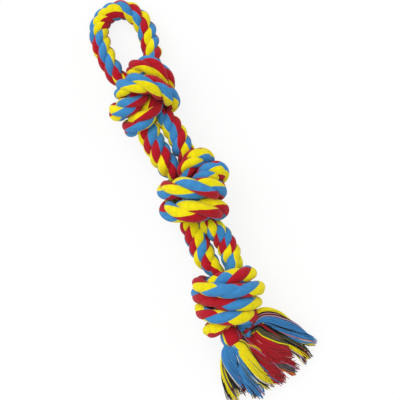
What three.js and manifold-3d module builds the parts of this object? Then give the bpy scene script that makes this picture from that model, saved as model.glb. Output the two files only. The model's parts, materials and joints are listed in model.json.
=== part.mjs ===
// Rope dog toy: one length of thick three-strand cotton rope, folded in half.
// The fold is the handle loop. Both legs run side by side through three big knots,
// and each rope end is unlaid into three locks of yarn, which fan out on the table.
// Leg a starts at the loop's left side and leg b at its right, seen with the loop away.
import * as THREE from "three";
import { mergeVertices } from "three/addons/utils/BufferGeometryUtils.js";
import Module from "manifold-3d";

const wasm = await Module();
wasm.setup();

// Driving dimensions, in millimetres. The toy lies along X on the table, its loop at -X.
const ropeDiameter = 24;
const upperSpan = 132; // top knot's centre to the middle knot's centre
const lowerSpan = 138; // middle knot's centre to the bottom knot's centre
const handleReach = 108; // top knot's centre to the loop's far end, on the centre line
const handleWidth = 56; // across the loop at its widest, on the centre line
const tasselLength = 80; // rope ends to the tips of the longest locks
const layGap = 1; // between stretches of rope that lie on each other
const seamGap = 0.3; // between pieces that meet end to end

// What follows is in shares of the sizes above. A rope point is its place along the toy,
// its place across it, its height over the table and its thickness, all in rope diameters,
// counted from its knot's centre. The rope is squeezed thinner inside a knot.
const topKnotShares = {
  a: [
    [-1.2, -1.4, 1.45, 0.85], [-0.75, -1.1, 1.6, 0.7], [-0.3, -0.8, 1.85, 0.65], [0.25, -0.6, 2.3, 0.8],
    [0.5, -0.8, 2.6, 0.9], [0.5, -1.4, 2.6, 0.9], [0.45, -1.9, 2.2, 0.9], [0.4, -2, 1.55, 0.85],
    [0.5, -1.75, 0.9, 0.75], [0.5, -1.15, 0.35, 0.75], [0.45, -0.55, 0.25, 0.75], [0.45, 0.05, 0.45, 0.75],
    [0.3, 0.55, 1.1, 0.75], [0.15, 0.7, 1.75, 0.8], [-0.25, 0.65, 2.3, 0.85], [-0.75, 0.4, 2.6, 0.9],
    [-1.1, 0, 2.65, 0.9], [-1.15, -0.5, 2.45, 0.85], [-1.1, -0.85, 2, 0.75], [-0.95, -0.95, 1.4, 0.7],
    [-0.6, -0.8, 1, 0.65], [-0.05, -0.5, 0.95, 0.6], [0.45, -0.25, 1.1, 0.65], [1, -0.05, 1.4, 0.7],
    [1.6, 0.05, 1.6, 0.9],
  ],
  b: [
    [-1.1, 0.35, 1.6, 0.8], [-0.65, 0.1, 1.85, 0.65], [-0.15, -0.05, 2, 0.65], [0.3, -0.05, 2.15, 0.7],
    [0.75, -0.35, 2.45, 0.85], [1.05, -0.95, 2.7, 0.9], [1.25, -1.45, 2.4, 0.9], [1.35, -1.7, 1.8, 0.85],
    [1.35, -1.4, 1.05, 0.75], [1.3, -0.9, 0.4, 0.7], [1.2, -0.3, 0.25, 0.7], [1.05, 0.1, 1.05, 0.75],
    [0.85, 0.25, 1.8, 0.8], [0.55, 0.25, 2.45, 0.85], [0.1, 0.05, 2.9, 0.9], [-0.3, -0.35, 3.05, 0.95],
    [-0.5, -0.75, 2.85, 0.9], [-0.5, -1.1, 2.3, 0.85], [-0.35, -1.25, 1.65, 0.75], [0, -1.2, 1.1, 0.65],
    [0.4, -1, 1, 0.6], [0.9, -0.95, 1.2, 0.7], [1.4, -0.95, 1.45, 0.8],
  ],
};
const middleKnotShares = {
  a: [
    [-1.65, 0.3, 1.6, 0.95], [-1.15, 0.2, 1.4, 0.8], [-0.6, 0.15, 1.25, 0.65], [0, 0.05, 1.15, 0.65],
    [0.55, 0.05, 1.1, 0.65], [1, 0.2, 1.1, 0.75], [1.1, 0.55, 1.2, 0.8], [0.9, 0.85, 1.7, 0.9],
    [0.5, 0.95, 2.35, 0.9], [0.2, 0.75, 2.85, 0.95], [-0.05, 0.25, 3.05, 1], [-0.3, -0.3, 3, 1],
    [-0.45, -0.85, 2.6, 0.95], [-0.5, -1.2, 1.9, 0.9], [-0.5, -1.05, 1.15, 0.8], [-0.65, -0.45, 0.45, 0.75],
    [-0.8, 0.25, 0.25, 0.75], [-0.95, 0.8, 0.55, 0.8], [-1.05, 1.15, 1.35, 0.8], [-1.15, 1.1, 2, 0.9],
    [-1.25, 0.9, 2.45, 0.95], [-1.3, 0.5, 2.6, 0.9], [-1.15, 0.1, 2.45, 0.85], [-0.75, -0.15, 2.15, 0.7],
    [-0.3, -0.35, 2, 0.65], [0.2, -0.5, 2, 0.65], [0.8, -0.65, 2.05, 0.7], [1.35, -0.75, 1.95, 0.9],
  ],
  b: [
    [-1.15, -0.85, 1.45, 0.9], [-0.55, -0.75, 1.3, 0.7], [0.05, -0.7, 1.2, 0.65], [0.6, -0.6, 1.05, 0.7],
    [1.1, -0.45, 0.85, 0.8], [1.35, -0.1, 1.05, 0.85], [1.3, 0.25, 1.65, 0.9], [1.2, 0.35, 2.25, 0.95],
    [1.1, 0.15, 2.75, 1], [0.95, -0.3, 3, 1.05], [0.8, -0.8, 2.95, 1.05], [0.6, -1.3, 2.5, 1],
    [0.4, -1.6, 1.85, 0.9], [0.2, -1.35, 1.1, 0.8], [0.1, -0.75, 0.35, 0.75], [0, -0.05, 0.25, 0.75],
    [-0.1, 0.65, 0.4, 0.75], [-0.2, 1.15, 1.15, 0.8], [-0.3, 1.45, 1.8, 0.9], [-0.55, 1.35, 2.4, 0.95],
    [-0.7, 1, 2.75, 0.95], [-0.65, 0.55, 2.7, 0.9], [-0.35, 0.3, 2.4, 0.75], [0.15, 0.2, 2.05, 0.65],
    [0.7, 0.15, 2, 0.65], [1.25, 0.2, 2.05, 0.7], [1.8, 0.3, 1.95, 0.9],
  ],
};
const bottomKnotShares = {
  a: [
    [-1.7, -0.75, 1.9, 0.8], [-1.05, -0.65, 1.95, 0.55], [-0.45, -0.85, 1.9, 0.6], [0.1, -1, 1.9, 0.6],
    [0.45, -1.25, 1.85, 0.6], [0.55, -1.65, 1.8, 0.65], [0.45, -1.85, 1.4, 0.65], [0.25, -1.6, 0.85, 0.65],
    [0.2, -1.05, 0.3, 0.65], [0.25, -0.4, 0.25, 0.65], [0.35, 0.15, 0.6, 0.65], [0.5, 0.55, 1.35, 0.65],
    [0.6, 0.7, 2.05, 0.65], [0.55, 0.45, 2.65, 0.65], [0.35, -0.1, 3, 0.65], [0.05, -0.7, 3.05, 0.65],
    [-0.35, -1.2, 2.8, 0.65], [-0.6, -1.55, 2.25, 0.65], [-0.75, -1.6, 1.55, 0.65], [-0.8, -1.35, 0.9, 0.65],
    [-0.8, -0.75, 0.3, 0.65], [-0.7, -0.1, 0.25, 0.65], [-0.65, 0.5, 0.65, 0.65], [-0.75, 0.8, 1.4, 0.7],
    [-0.9, 0.8, 2.05, 0.75], [-0.95, 0.5, 2.5, 0.75], [-1.05, 0, 2.7, 0.75], [-1.1, -0.5, 2.55, 0.75],
    [-1.15, -0.95, 2.15, 0.65], [-1.1, -1.1, 1.6, 0.55], [-1.15, -0.9, 1.1, 0.55], [-1.1, -0.35, 0.9, 0.6],
    [-0.75, 0.05, 1, 0.6], [-0.25, 0.1, 1.2, 0.6], [0.3, -0.1, 1.35, 0.6], [0.8, -0.25, 1.45, 0.6],
  ],
  b: [
    [-1.5, 0.45, 1.9, 0.9], [-1, 0.2, 1.9, 0.65], [-0.45, -0.05, 1.85, 0.6], [0.15, -0.25, 1.85, 0.6],
    [0.6, -0.5, 1.85, 0.6], [0.95, -0.9, 1.9, 0.65], [1.1, -1.35, 1.85, 0.7], [1, -1.8, 1.55, 0.7],
    [0.8, -1.85, 1, 0.65], [0.7, -1.4, 0.4, 0.65], [0.7, -0.85, 0.25, 0.65], [0.85, -0.35, 0.6, 0.65],
    [0.95, -0.05, 1.3, 0.65], [1, 0, 2, 0.65], [0.95, -0.2, 2.55, 0.7], [0.8, -0.65, 2.85, 0.7],
    [0.6, -1.15, 2.9, 0.7], [0.35, -1.6, 2.65, 0.65], [0.15, -1.85, 2.1, 0.65], [-0.05, -1.85, 1.5, 0.65],
    [-0.2, -1.6, 0.9, 0.65], [-0.2, -1, 0.3, 0.65], [-0.15, -0.3, 0.25, 0.65], [-0.05, 0.35, 0.6, 0.65],
    [0.05, 0.9, 1.4, 0.65], [0.1, 1.15, 2.1, 0.65], [-0.05, 0.8, 2.7, 0.7], [-0.25, 0.15, 3, 0.7],
    [-0.55, -0.55, 3.05, 0.7], [-0.8, -1.1, 2.75, 0.65], [-1, -1.35, 2.2, 0.65], [-1.05, -1.4, 1.6, 0.65],
    [-1.05, -1.2, 1.05, 0.6], [-0.9, -0.9, 0.75, 0.6], [-0.6, -0.7, 0.95, 0.6], [-0.15, -0.7, 1.2, 0.6],
    [0.3, -0.75, 1.3, 0.6], [0.8, -0.85, 1.5, 0.7],
  ],
};
const ropeEndShares = {
  a: [[1.25, -0.2, 1.5, 0.7], [1.6, 0, 1.45, 0.85]],
  b: [[1.25, -0.95, 1.7, 0.8], [1.7, -1.05, 1.75, 0.9]],
};

// A leg between two knots: along in shares of the span, the rest in rope diameters.
const upperLegShares = {
  a: [[0.39, 0.15, 1.75, 1], [0.5, 0.25, 1.8, 1], [0.6, 0.25, 1.8, 1]],
  b: [[0.35, -1, 1.65, 1], [0.45, -1, 1.75, 1], [0.55, -0.95, 1.8, 1], [0.68, -0.9, 1.7, 1]],
};
const lowerLegShares = {
  a: [[0.33, -0.8, 1.85, 1], [0.46, -0.8, 1.8, 1], [0.58, -0.8, 1.8, 1]],
  b: [[0.42, 0.35, 1.85, 1], [0.54, 0.45, 1.8, 1], [0.65, 0.5, 1.8, 1]],
};

// The handle, from its far end to the top knot: along in shares of its reach,
// across in shares of its width, the rest in rope diameters.
const loopShares = {
  a: [
    [0.98, 0.03, 0.4, 1], [1, -0.3, 0.4, 1], [0.94, -0.53, 0.45, 1], [0.84, -0.66, 0.65, 1],
    [0.71, -0.7, 0.85, 1],
  ],
  b: [[0.86, 0.25, 0.5, 1], [0.68, 0.34, 0.65, 1]],
};
const neckShares = {
  a: [[0.56, -0.7, 1.1, 1], [0.41, -0.66, 1.3, 0.95]],
  b: [[0.51, 0.3, 0.9, 1], [0.37, 0.26, 1.25, 0.95]],
};

// A lock of yarn: along and across in shares of the tassel's length, counted from the end
// of its rope, height in rope diameters, width and thickness in shares of the rope's.
const lockShares = {
  a1: [
    [0.04, 0.22, 1.35, 0.5, 0.5], [0.08, 0.36, 1.25, 0.7, 0.65], [0.22, 0.5, 1, 0.85, 0.7],
    [0.44, 0.62, 0.65, 0.8, 0.6], [0.64, 0.74, 0.25, 0.65, 0.5],
  ],
  a2: [
    [0.14, 0.1, 0.95, 0.5, 0.5], [0.32, 0.24, 0.65, 0.7, 0.6], [0.52, 0.4, 0.4, 0.7, 0.55],
    [0.78, 0.58, 0.25, 0.65, 0.5],
  ],
  a3: [
    [0.16, 0.08, 1.65, 0.7, 0.6], [0.36, 0.14, 1.65, 1, 0.7], [0.56, 0.22, 1.3, 1.2, 0.7],
    [0.72, 0.28, 0.85, 1.05, 0.6], [0.9, 0.34, 0.3, 0.85, 0.55],
  ],
  b1: [
    [0.18, 0.13, 1.15, 0.45, 0.45], [0.4, 0.22, 0.9, 0.7, 0.6], [0.66, 0.3, 0.6, 0.75, 0.55],
    [0.98, 0.4, 0.25, 0.75, 0.5],
  ],
  b2: [
    [0.18, 0.02, 2.05, 0.5, 0.45], [0.38, 0.08, 1.85, 0.8, 0.65], [0.62, 0.11, 1.4, 0.9, 0.65],
    [0.86, 0.11, 0.85, 0.9, 0.6], [1.06, 0.11, 0.3, 0.9, 0.55],
  ],
  b3: [
    [0.16, -0.13, 1.4, 0.5, 0.5], [0.36, -0.18, 1.3, 0.85, 0.7], [0.64, -0.2, 0.85, 1, 0.65],
    [0.98, -0.22, 0.3, 1.05, 0.55],
  ],
};
// Where the three strands leave the face of a rope end: angle round it, in turns.
const lockTurnShares = { a1: 0, a2: 0.67, a3: 0.33, b1: 0.88, b2: 0.25, b3: 0.57 };
const strandThicknessShare = 0.32;
const strandOffsetShare = 0.24;
const strandStraightShare = 0.25;

// How the knots are drawn tight, in rope diameters and in shares of one round's move.
const settling = {
  rounds: 220,
  stepShare: 0.25, // spacing of the points that settle
  skipShare: 1.1, // points nearer than this along the rope don't push each other
  sinkShare: 0.1, // how deep the rope presses on the table, where it is flat
  frontShare: 2.2, // above this height a pass is seen from above and keeps its place
  blendShare: 0.6,
  holdShare: 0.04,
  seenHoldShare: 0.36,
  releaseShare: 0.7, // share of the rounds after which nothing is held
  evenShare: 0.5,
  slackShare: 0.04,
  stiffShare: 0.36,
  bendShare: 1.35, // a bend is eased where its radius is under this share of the rope's
  crowdShare: 1.6,
};
const measureSkipShare = 1.2;
const splineSteps = 24;
const lockSteps = 3;
const ropeSides = 8;

const ropeRadius = ropeDiameter / 2;
const stepLength = settling.stepShare * ropeDiameter;
const centres = { top: -upperSpan, middle: 0, bottom: lowerSpan };

// Rows of shares turned into points [x, y, z, half thickness] in millimetres.
function ropePoint(x, y, height, thickness) {
  return [x, y, height * ropeDiameter, thickness * ropeRadius];
}

function knotPoints(rows, centre) {
  return rows.map(([along, across, height, thickness]) =>
    ropePoint(centre + along * ropeDiameter, across * ropeDiameter, height, thickness));
}

function legPoints(rows, from, span) {
  return rows.map(([along, across, height, thickness]) =>
    ropePoint(from + along * span, across * ropeDiameter, height, thickness));
}

function handlePoints(rows) {
  return rows.map(([along, across, height, thickness]) =>
    ropePoint(centres.top - along * handleReach, across * handleWidth, height, thickness));
}

// The rope's pieces of one leg, from the loop's far end to the rope's end.
function legPieces(leg) {
  return [
    ["handle_loop", handlePoints(loopShares[leg])],
    ["handle_neck_" + leg, handlePoints(neckShares[leg])],
    ["top_knot_rope_" + leg, knotPoints(topKnotShares[leg], centres.top)],
    ["upper_leg_" + leg, legPoints(upperLegShares[leg], centres.top, upperSpan)],
    ["middle_knot_rope_" + leg, knotPoints(middleKnotShares[leg], centres.middle)],
    ["lower_leg_" + leg, legPoints(lowerLegShares[leg], centres.middle, lowerSpan)],
    ["bottom_knot_rope_" + leg, knotPoints(bottomKnotShares[leg], centres.bottom)],
    ["rope_end_" + leg, knotPoints(ropeEndShares[leg], centres.bottom)],
  ];
}

// The whole rope from end a, round the loop, to end b.
function ropePieces() {
  const legA = legPieces("a").reverse().map(([name, points]) => [name, points.reverse()]);
  const [[, loopB], ...restB] = legPieces("b");
  legA[legA.length - 1][1].push(...loopB);
  return [...legA, ...restB];
}

// A smooth curve through the points (Catmull-Rom), as dense samples.
function spline(points, steps) {
  const first = points[0].map((v, k) => 2 * v - points[1][k]);
  const last = points[points.length - 1].map((v, k) => 2 * v - points[points.length - 2][k]);
  const held = [first, ...points, last];
  const samples = [];
  for (let i = 1; i < held.length - 2; i++) {
    const [a, b, c, d] = held.slice(i - 1, i + 3);
    for (let j = 0; j < steps; j++) {
      const t = j / steps;
      samples.push(b.map((_, k) => 0.5 * (2 * b[k] + (c[k] - a[k]) * t
        + (2 * a[k] - 5 * b[k] + 4 * c[k] - d[k]) * t * t
        + (3 * b[k] - a[k] - 3 * c[k] + d[k]) * t * t * t)));
    }
  }
  samples.push([...points[points.length - 1]]);
  return samples;
}

function between(p, q) {
  return Math.hypot(p[0] - q[0], p[1] - q[1], p[2] - q[2]);
}

function mix(p, q, t) {
  return p.map((v, k) => v + (q[k] - v) * t);
}

// Samples spaced evenly along their length, and the length at each sample given.
function spaceEvenly(samples, step) {
  const reached = [0];
  for (let i = 1; i < samples.length; i++)
    reached.push(reached[i - 1] + between(samples[i - 1], samples[i]));
  const total = reached[reached.length - 1];
  const count = Math.round(total / step);
  const points = [];
  let at = 0;
  for (let i = 0; i <= count; i++) {
    const target = (total * i) / count;
    while (at < samples.length - 2 && reached[at + 1] < target) at++;
    points.push(mix(samples[at], samples[at + 1], (target - reached[at]) / (reached[at + 1] - reached[at])));
  }
  return { points, reached, perStep: count / total };
}

function bendRadius(a, b, c) {
  const ab = new THREE.Vector3(b[0] - a[0], b[1] - a[1], b[2] - a[2]);
  const ac = new THREE.Vector3(c[0] - a[0], c[1] - a[1], c[2] - a[2]);
  const twiceArea = ab.clone().cross(ac).length();
  return (ab.length() * between(b, c) * ac.length()) / Math.max(2 * twiceArea, Number.EPSILON);
}

function clamp(value, low, high) {
  return Math.min(Math.max(value, low), high);
}

// The knots drawn tight: passes that cross push each other apart, tight bends ease,
// and the rope rests on the table, while what is seen from above stays where it is drawn.
function settle(start) {
  const count = start.length;
  const skip = Math.ceil(settling.skipShare / settling.stepShare);
  const sink = settling.sinkShare * ropeDiameter;
  const radius = start.map((p) => p[3]);
  const points = start.map((p) => p.slice(0, 3));
  const hold = start.map((p) => {
    const over = (p[2] / ropeDiameter - settling.frontShare) / settling.blendShare + 0.5;
    const seen = settling.holdShare + settling.seenHoldShare * clamp(over, 0, 1);
    return [seen, seen, settling.holdShare];
  });
  for (let round = 0; round < settling.rounds; round++) {
    const ease = Math.max(0, 1 - round / (settling.rounds * settling.releaseShare));
    const move = points.map((p, i) => p.map((v, k) => (v - start[i][k]) * (1 - hold[i][k] * ease)));
    for (let i = 0; i < count; i++)
      for (let k = 0; k < 3; k++) {
        const inside = i > 0 && i < count - 1;
        const beside = inside ? (move[i - 1][k] + move[i + 1][k]) / 2 : move[i][k];
        points[i][k] = start[i][k] + move[i][k] + settling.evenShare * (beside - move[i][k]);
      }
    const eased = points.map((p) => [...p]);
    for (let i = 1; i < count - 1; i++) {
      const bend = bendRadius(points[i - 1], points[i], points[i + 1]) / radius[i];
      const tight = clamp((settling.bendShare - bend) / (settling.bendShare - 1), 0, 1);
      const share = settling.slackShare + settling.stiffShare * tight;
      for (let k = 0; k < 3; k++)
        eased[i][k] += share * ((points[i - 1][k] + points[i + 1][k]) / 2 - points[i][k]);
    }
    const push = eased.map(() => [0, 0, 0, 0]);
    for (let i = 0; i < count; i++)
      for (let j = i + skip + 1; j < count; j++) {
        const need = radius[i] + radius[j] + layGap;
        const dx = eased[i][0] - eased[j][0];
        if (Math.abs(dx) >= need) continue;
        const dy = eased[i][1] - eased[j][1];
        const dz = eased[i][2] - eased[j][2];
        const apart = Math.sqrt(dx * dx + dy * dy + dz * dz);
        if (apart >= need) continue;
        const share = (need - apart) / Math.max(apart, Number.EPSILON) / 2;
        [dx, dy, dz].forEach((d, k) => {
          push[i][k] += d * share;
          push[j][k] -= d * share;
        });
        push[i][3]++;
        push[j][3]++;
      }
    for (let i = 0; i < count; i++) {
      const crowd = clamp(push[i][3], 1, settling.crowdShare);
      for (let k = 0; k < 3; k++) points[i][k] = eased[i][k] + push[i][k] / crowd;
      points[i][2] = Math.max(points[i][2], radius[i] - sink);
    }
  }
  return points.map((p, i) => [...p, radius[i]]);
}

// Least distance between the surfaces of two places on the rope, away from its own line.
function leastGap(points) {
  const skip = measureSkipShare / settling.stepShare;
  let least = Infinity;
  for (let i = 0; i < points.length; i++)
    for (let j = i + 1; j < points.length; j++)
      if (j - i > skip) least = Math.min(least, between(points[i], points[j]) - points[i][3] - points[j][3]);
  return least;
}

function vector(p) {
  return new THREE.Vector3(p[0], p[1], p[2]);
}

function direction(p, q) {
  return vector(q).sub(vector(p)).normalize();
}

// Directions square to the rope at each point, carried along it without twist.
function sideDirections(points) {
  const sides = [];
  let side = new THREE.Vector3(0, 0, 1);
  points.forEach((p, i) => {
    const ahead = direction(points[Math.max(i - 1, 0)], points[Math.min(i + 1, points.length - 1)]);
    side = side.clone().addScaledVector(ahead, -side.dot(ahead)).normalize();
    sides.push(side);
  });
  return sides;
}

// A ring of points round a centre: side and up span its plane, half sizes along each.
function ring(centre, side, up, halfSide, halfUp) {
  return Array.from({ length: ropeSides }, (_, k) => {
    const angle = (2 * Math.PI * k) / ropeSides;
    return vector(centre)
      .addScaledVector(side, halfSide * Math.cos(angle))
      .addScaledVector(up, halfUp * Math.sin(angle));
  });
}

// A closed skin over rings of equal count, with a flat face at each end.
function ringLoft(rings) {
  const n = ropeSides;
  const index = [];
  for (let r = 0; r < rings.length - 1; r++)
    for (let k = 0; k < n; k++) {
      const [a, b] = [r * n + k, r * n + ((k + 1) % n)];
      index.push(a, b, b + n, a, b + n, a + n);
    }
  const end = (rings.length - 1) * n;
  for (let k = 1; k < n - 1; k++) index.push(0, k + 1, k, end, end + k, end + k + 1);
  const geometry = new THREE.BufferGeometry().setFromPoints(rings.flat());
  return geometry.setIndex(index);
}

function solidOf(geometry) {
  const bare = geometry.clone();
  bare.deleteAttribute("normal");
  bare.deleteAttribute("uv");
  const merged = mergeVertices(bare);
  return new wasm.Manifold(new wasm.Mesh({
    numProp: 3,
    vertProperties: merged.attributes.position.array,
    triVerts: new Uint32Array(merged.index.array),
  }));
}

function geometryOf(solid) {
  const mesh = solid.getMesh();
  const geometry = new THREE.BufferGeometry();
  geometry.setAttribute("position", new THREE.BufferAttribute(mesh.vertProperties, 3));
  return geometry.setIndex(new THREE.BufferAttribute(mesh.triVerts, 1));
}

// What presses on the table is flat there.
function flattened(geometry) {
  geometry.computeBoundingBox();
  const { min, max } = geometry.boundingBox;
  if (min.z >= 0) return geometry;
  const margin = ropeDiameter;
  const size = max.clone().sub(min).addScalar(2 * margin);
  const table = new THREE.BoxGeometry(size.x, size.y, margin - min.z);
  table.translate((min.x + max.x) / 2, (min.y + max.y) / 2, (min.z - margin) / 2);
  return geometryOf(solidOf(geometry).subtract(solidOf(table)));
}

// A piece of the settled rope between two places, counted in points along it.
function ropeGeometry(points, sides, from, to) {
  const rings = [];
  const add = (centre, ahead, side) => {
    const square = side.clone().addScaledVector(ahead, -side.dot(ahead)).normalize();
    rings.push(ring(centre, square, ahead.clone().cross(square), centre[3], centre[3]));
  };
  const addCut = (place) => {
    const i = clamp(Math.floor(place), 0, points.length - 2);
    const side = sides[i].clone().add(sides[i + 1]);
    add(mix(points[i], points[i + 1], place - i), direction(points[i], points[i + 1]), side);
  };
  addCut(from);
  for (let i = Math.ceil(from); i <= Math.floor(to); i++)
    if (i > from && i < to) add(points[i], direction(points[i - 1], points[i + 1]), sides[i]);
  addCut(to);
  return ringLoft(rings);
}

// A lock of yarn from the face of its rope's end: straight out of it, then fanning out.
function lockGeometry(name, face, ahead) {
  const level = new THREE.Vector3(-ahead.y, ahead.x, 0).normalize();
  const over = ahead.clone().cross(level);
  const turn = 2 * Math.PI * lockTurnShares[name];
  const start = vector(face)
    .addScaledVector(ahead, seamGap)
    .addScaledVector(level, strandOffsetShare * ropeDiameter * Math.cos(turn))
    .addScaledVector(over, strandOffsetShare * ropeDiameter * Math.sin(turn));
  const out = start.clone().addScaledVector(ahead, strandStraightShare * ropeDiameter);
  const strand = [strandThicknessShare * ropeRadius, strandThicknessShare * ropeRadius];
  const rows = [[...start.toArray(), ...strand], [...out.toArray(), ...strand]];
  for (const [along, across, height, width, thickness] of lockShares[name])
    rows.push([
      face[0] + along * tasselLength,
      face[1] + across * tasselLength,
      height * ropeDiameter,
      width * ropeRadius,
      thickness * ropeRadius,
    ]);
  const samples = spline(rows, lockSteps);
  const rings = samples.map((row, i) => {
    const last = samples.length - 1;
    const along = i === 0 ? ahead : direction(samples[i - 1], samples[Math.min(i + 1, last)]);
    const side = new THREE.Vector3(-along.y, along.x, 0).normalize();
    return ring(row, side, along.clone().cross(side), row[3], row[4]);
  });
  return ringLoft(rings);
}

// Dyed cotton, matt all over. Each piece has the colour that shows most on it.
const colours = { blue: 0x3a86c8, yellow: 0xf2e205, red: 0xb5122b };
const pieceColours = {
  handle_loop: colours.blue,
  handle_neck_a: colours.red,
  handle_neck_b: colours.yellow,
  top_knot_rope_a: colours.yellow,
  top_knot_rope_b: colours.blue,
  upper_leg_a: colours.blue,
  upper_leg_b: colours.red,
  middle_knot_rope_a: colours.blue,
  middle_knot_rope_b: colours.yellow,
  lower_leg_a: colours.red,
  lower_leg_b: colours.yellow,
  bottom_knot_rope_a: colours.blue,
  bottom_knot_rope_b: colours.yellow,
  rope_end_a: colours.blue,
  rope_end_b: colours.red,
  tassel_lock_a1: colours.blue,
  tassel_lock_a2: colours.yellow,
  tassel_lock_a3: colours.red,
  tassel_lock_b1: colours.red,
  tassel_lock_b2: colours.yellow,
  tassel_lock_b3: colours.blue,
};

function cottonPiece(name, geometry) {
  const bare = flattened(geometry);
  bare.computeVertexNormals();
  const cotton = new THREE.MeshStandardMaterial({
    color: pieceColours[name],
    roughness: 0.95,
    metalness: 0,
    flatShading: true,
  });
  const mesh = new THREE.Mesh(bare, cotton);
  mesh.name = name;
  return mesh;
}

const pieces = ropePieces();
const samples = spline(pieces.flatMap(([, points]) => points), splineSteps);
const even = spaceEvenly(samples, stepLength);
const rope = settle(even.points);
const sides = sideDirections(rope);
const toy = new THREE.Group();

// Each piece ends halfway between its last point and its neighbour's first.
let passed = 0;
let from = 0;
const halfSeam = seamGap / 2;
pieces.forEach(([name, points], i) => {
  passed += points.length;
  let to = rope.length - 1;
  let startGap = 0;
  let endGap = 0;
  if (i > 0) startGap = halfSeam / stepLength;
  if (i < pieces.length - 1) {
    const reached = (even.reached[(passed - 1) * splineSteps] + even.reached[passed * splineSteps]) / 2;
    to = Math.floor(reached * even.perStep) + 0.5;
    endGap = halfSeam / stepLength;
  }
  toy.add(cottonPiece(name, ropeGeometry(rope, sides, from + startGap, to - endGap)));
  from = to;
});

const last = rope.length - 1;
const ends = {
  a: { face: rope[0], ahead: direction(rope[1], rope[0]) },
  b: { face: rope[last], ahead: direction(rope[last - 1], rope[last]) },
};
for (const name of Object.keys(lockShares)) {
  const { face, ahead } = ends[name[0]];
  toy.add(cottonPiece("tassel_lock_" + name, lockGeometry(name, face, ahead)));
}

// The origin is on the table, under the middle of the toy's box.
const box = new THREE.Box3().setFromObject(toy);
toy.position.set(-(box.min.x + box.max.x) / 2, -(box.min.y + box.max.y) / 2, 0);

const ropeLength = rope.slice(1).reduce((sum, p, i) => sum + between(rope[i], p), 0);
console.log("rope " + ropeLength.toFixed(0) + " mm long, least gap to itself "
  + leastGap(rope).toFixed(2) + " mm, on " + rope.length + " points");

export default toy;
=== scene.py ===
# Rope dog toy: one length of thick three-strand cotton rope, folded in half and knotted three times.
# The rope's route is the CAD part's own; the laid strands and the yarns of the tassel are made here.
import json
import math
import bpy
import numpy as np
from mathutils import Matrix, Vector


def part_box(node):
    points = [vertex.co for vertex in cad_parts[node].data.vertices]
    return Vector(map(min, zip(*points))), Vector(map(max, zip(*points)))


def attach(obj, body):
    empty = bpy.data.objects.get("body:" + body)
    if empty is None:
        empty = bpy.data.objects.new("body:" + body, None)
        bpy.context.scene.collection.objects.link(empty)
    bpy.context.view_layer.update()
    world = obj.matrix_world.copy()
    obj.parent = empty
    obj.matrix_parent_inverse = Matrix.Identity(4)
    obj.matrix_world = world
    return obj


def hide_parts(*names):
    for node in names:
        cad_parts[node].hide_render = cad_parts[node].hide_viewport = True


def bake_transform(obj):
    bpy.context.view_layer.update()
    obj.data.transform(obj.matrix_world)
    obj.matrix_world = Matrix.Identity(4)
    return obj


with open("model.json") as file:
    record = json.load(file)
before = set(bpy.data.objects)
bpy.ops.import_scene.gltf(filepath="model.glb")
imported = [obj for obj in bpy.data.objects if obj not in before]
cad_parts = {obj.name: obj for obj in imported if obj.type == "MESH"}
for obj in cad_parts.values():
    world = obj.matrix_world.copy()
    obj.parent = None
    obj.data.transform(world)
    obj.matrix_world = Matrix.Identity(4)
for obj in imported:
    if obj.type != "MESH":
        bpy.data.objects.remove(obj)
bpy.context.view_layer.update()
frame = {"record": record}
mm = 0.001
tau = 2 * math.pi
tiny = 1e-12  # keeps a division away from zero

# The rope's sizes, in millimetres, as in the CAD part. The toy lies along X, its loop at -X.
rope = {
    "diameter": 24.0,
    "upperSpan": 132.0,  # top knot's centre to the middle knot's centre
    "lowerSpan": 138.0,  # middle knot's centre to the bottom knot's centre
    "handleReach": 108.0,  # top knot's centre to the loop's far end
    "handleWidth": 56.0,
    "layGap": 1.0,  # between stretches of rope that lie on each other
    "stepShare": 0.25,  # spacing of the settled points, in diameters
    "splineSteps": 24,  # between two rows of the route
    "facets": 8,  # sides of the CAD part's rope, by which the route is placed
}
ropeDiameter = rope["diameter"]
ropeRadius = ropeDiameter / 2
ropeStep = rope["stepShare"] * ropeDiameter
knotCentres = {"top": -rope["upperSpan"], "middle": 0.0, "bottom": rope["lowerSpan"]}

# How the knots are drawn tight, as in the CAD part. The first four shares are of the rope's diameter.
settling = {
    "rounds": 220,
    "skipShare": 1.1,  # points nearer than this along the rope don't push each other
    "sinkShare": 0.1,  # how deep the rope presses on the table, where it is flat
    "frontShare": 2.2,  # above this height a pass is seen from above and keeps its place
    "blendShare": 0.6,  # the height over which that sets in
    "holdShare": 0.04,  # of a point's move, taken back in each round
    "seenHoldShare": 0.36,  # the same, added where the pass is seen
    "releaseShare": 0.7,  # of the rounds, after which nothing is held
    "evenShare": 0.5,  # of the way from a point's move to the mean of its neighbours' moves
    "slackShare": 0.04,  # of the way to the middle of its neighbours, where the rope is straight
    "stiffShare": 0.36,  # the same, added where it is bent tight
    "bendShare": 1.35,  # a bend is tight where its radius is under this share of the rope's
    "crowdShare": 1.6,  # a push is divided by the number of points that push, up to this
}

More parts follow.
